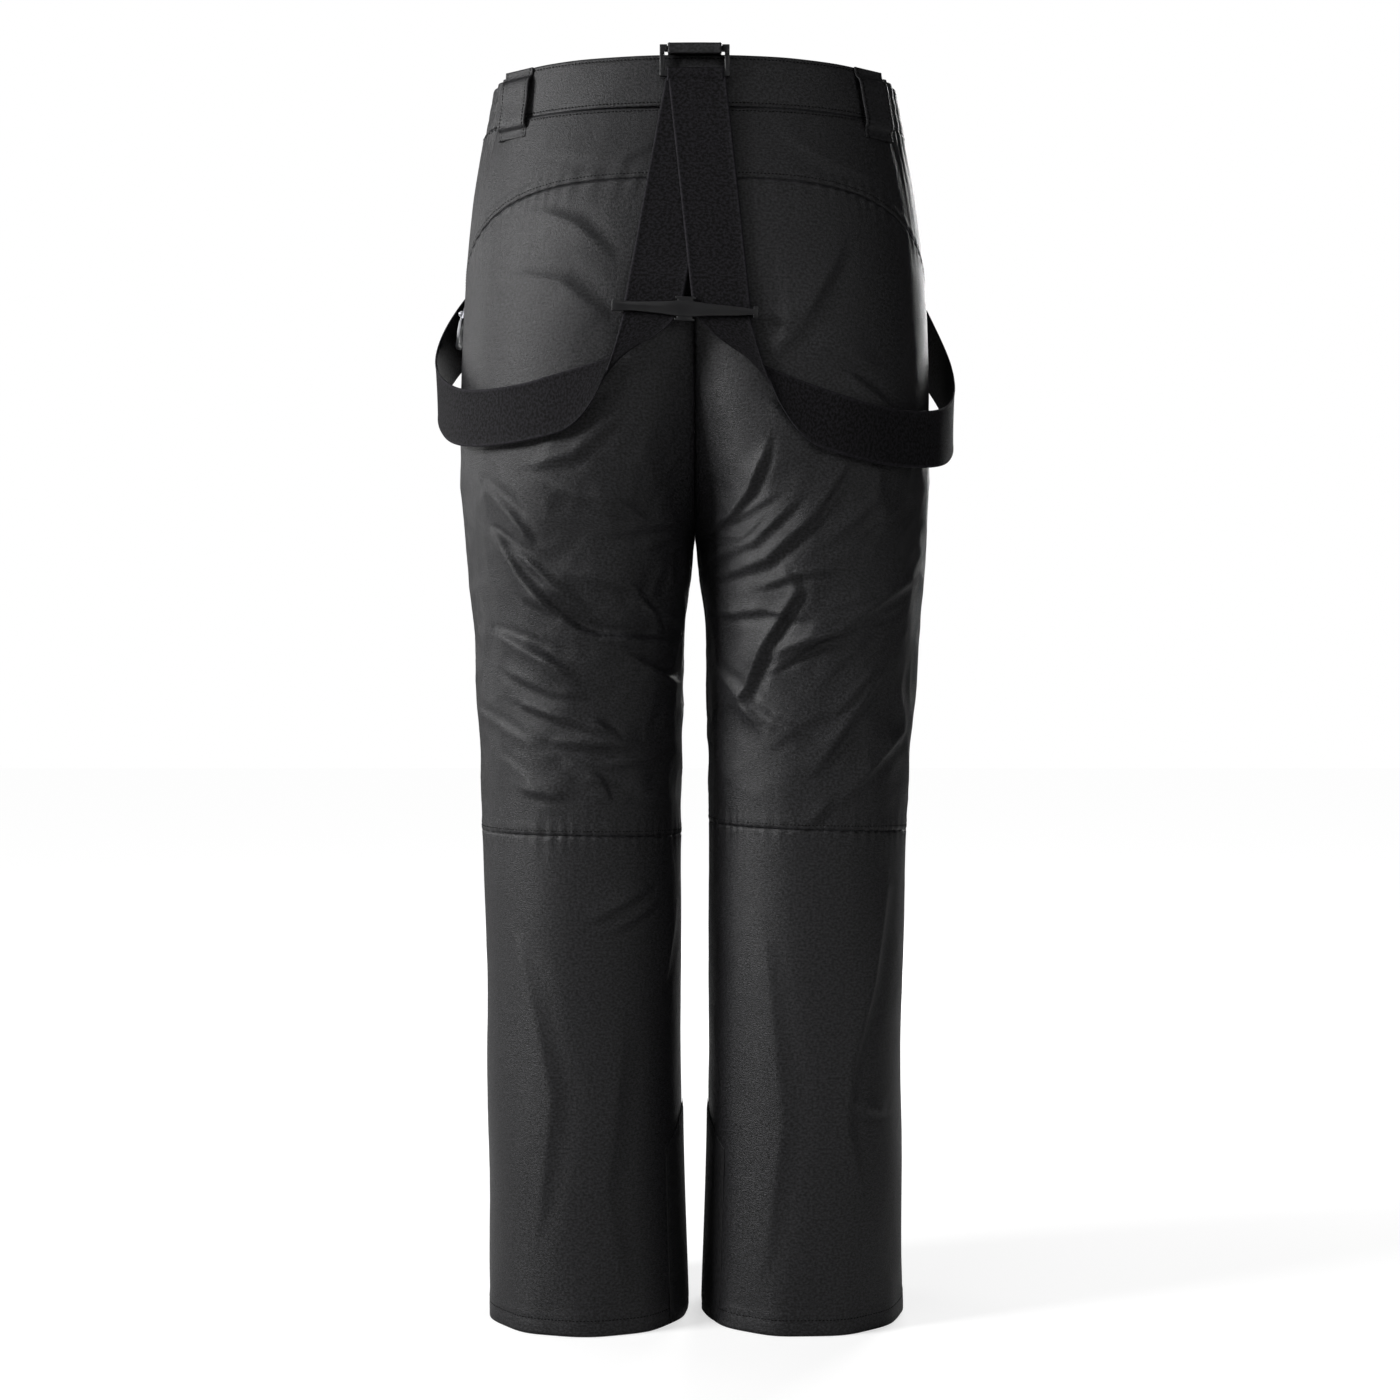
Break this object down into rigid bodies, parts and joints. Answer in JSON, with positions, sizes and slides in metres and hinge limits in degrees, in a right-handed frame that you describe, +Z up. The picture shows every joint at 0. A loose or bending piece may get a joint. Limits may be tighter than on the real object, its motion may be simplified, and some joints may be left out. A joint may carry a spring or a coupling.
{
  "type": "ski pants",
  "caption": "Insulated ski pants with yoke, knee seams, scuff guards, elastic sides, belt loops, zips, snow gaiters and crossed elastic braces hung behind the seat.",
  "frame": {"origin": "on the floor under the middle of the whole object, braces included", "axes": "+Z up, the wearer faces -Y, the wearer's left is on +X"},
  "size_m": [0.458, 0.2612, 1.0798],
  "materials": {
    "shell_cloth": "plain woven polyester with a soft sheen",
    "guard_cloth": "coarse hard-wearing weave",
    "liner_cloth": "thin smooth taffeta",
    "gripper_elastic": "ribbed elastic",
    "wadding": "soft fibre wadding",
    "grey_webbing": "woven cloth loop",
    "strap_elastic": "matt woven elastic",
    "puller_plastic": "moulded, satin",
    "dark_metal": "dark satin metal",
    "zip_tape": "moulded coil on woven tape",
    "black_plastic": "moulded, semi-gloss"
  },
  "bodies": {
    "root": {"yoke_left": "shell_cloth", "seat_panel_left": "shell_cloth", "front_panel_left": "shell_cloth", "calf_panel_left": "shell_cloth", "shin_panel_left": "shell_cloth", "wadding_left": "wadding", "lining_left": "liner_cloth", "gaiter_left": "liner_cloth", "gaiter_elastic_left": "gripper_elastic", "scuff_guard_left": "guard_cloth", "side_strap_left": "strap_elastic", "front_anchor_loop_left": "shell_cloth", "yoke_right": "shell_cloth", "seat_panel_right": "shell_cloth", "front_panel_right": "shell_cloth", "calf_panel_right": "shell_cloth", "shin_panel_right": "shell_cloth", "wadding_right": "wadding", "lining_right": "liner_cloth", "gaiter_right": "liner_cloth", "gaiter_elastic_right": "gripper_elastic", "scuff_guard_right": "guard_cloth", "side_strap_right": "strap_elastic", "front_anchor_loop_right": "shell_cloth", "waistband_back": "shell_cloth", "elastic_side_left": "shell_cloth", "elastic_side_right": "shell_cloth", "waistband_front_left": "shell_cloth", "waistband_front_right": "shell_cloth", "belt_loop_back_left": "shell_cloth", "belt_loop_front_left": "shell_cloth", "belt_loop_back_right": "shell_cloth", "belt_loop_front_right": "shell_cloth", "rear_anchor_loop": "grey_webbing", "stud_post_inner": "dark_metal", "stud_post_outer": "dark_metal", "fly_chain": "zip_tape", "fly_placket": "shell_cloth", "pocket_left_chain": "zip_tape", "pocket_right_chain": "zip_tape"},
    "rear_harness": {"rear_buckle": "black_plastic", "back_strap_left": "strap_elastic", "back_strap_right": "strap_elastic"},
    "cross_plate": {"cross_plate": "black_plastic"},
    "waist_tab": {"waist_tab": "shell_cloth", "stud_cap_inner": "dark_metal", "stud_cap_outer": "dark_metal"},
    "fly_slider": {"fly_slider": "dark_metal"},
    "fly_puller": {"fly_puller": "puller_plastic"},
    "pocket_slider_left": {"pocket_left_slider": "dark_metal"},
    "pocket_puller_left": {"pocket_left_puller": "puller_plastic"},
    "pocket_slider_right": {"pocket_right_slider": "dark_metal"},
    "pocket_puller_right": {"pocket_right_puller": "puller_plastic"},
    "adjuster_left": {"strap_adjuster_left": "black_plastic"},
    "adjuster_right": {"strap_adjuster_right": "black_plastic"},
    "hook_left": {"front_hook_left": "black_plastic"},
    "hook_right": {"front_hook_right": "black_plastic"}
  },
  "joints": [
    {"name": "braces_swing", "type": "hinge", "parent": "root", "child": "rear_harness", "pos_m": [0, 0.1095, 1.075], "axis": [1, 0, 0], "range_deg": [0, 40]},
    {"name": "cross_plate_slide", "type": "slide", "parent": "rear_harness", "child": "cross_plate", "axis": [0, 0, 1], "range_m": [-0.0015, 0.006]},
    {"name": "waist_tab_swing", "type": "hinge", "parent": "root", "child": "waist_tab", "pos_m": [0.028, -0.12169, 1.05], "axis": [0, 0, 1], "range_deg": [0, 110]},
    {"name": "fly_slide", "type": "slide", "parent": "root", "child": "fly_slider", "axis": [0, 0, -1], "range_m": [0, 0.134]},
    {"name": "fly_puller_swing", "type": "hinge", "parent": "fly_slider", "child": "fly_puller", "pos_m": [0, -0.12789, 1.017], "axis": [-1, 0, 0], "range_deg": [0, 150]},
    {"name": "pocket_slide_left", "type": "slide", "parent": "root", "child": "pocket_slider_left", "axis": [-0.185, -0.1847, 0.9652], "range_m": [0, 0.10418]},
    {"name": "pocket_puller_swing_left", "type": "hinge", "parent": "pocket_slider_left", "child": "pocket_puller_left", "pos_m": [0.20905, -0.03959, 0.88149], "axis": [-0.3081, -0.9513, 0], "range_deg": [0, 8]},
    {"name": "pocket_slide_right", "type": "slide", "parent": "root", "child": "pocket_slider_right", "axis": [0.185, -0.1847, 0.9652], "range_m": [-0.10418, 0]},
    {"name": "pocket_puller_swing_right", "type": "hinge", "parent": "pocket_slider_right", "child": "pocket_puller_right", "pos_m": [-0.18941, -0.05919, 0.98398], "axis": [-0.3081, 0.9513, 0], "range_deg": [0, 150]},
    {"name": "adjuster_slide_left", "type": "slide", "parent": "root", "child": "adjuster_left", "axis": [-0.4257, -0.1359, 0.8946], "range_m": [-0.008, 0.008]},
    {"name": "hook_swing_left", "type": "hinge", "parent": "root", "child": "hook_left", "pos_m": [0.11522, -0.10071, 1.054], "axis": [-0.9104, -0.4138, 0], "range_deg": [0, 60]},
    {"name": "adjuster_slide_right", "type": "slide", "parent": "root", "child": "adjuster_right", "axis": [0.4257, -0.1359, 0.8946], "range_m": [-0.008, 0.008]},
    {"name": "hook_swing_right", "type": "hinge", "parent": "root", "child": "hook_right", "pos_m": [-0.11522, -0.10071, 1.054], "axis": [-0.9104, 0.4138, 0], "range_deg": [0, 60]}
  ]
}
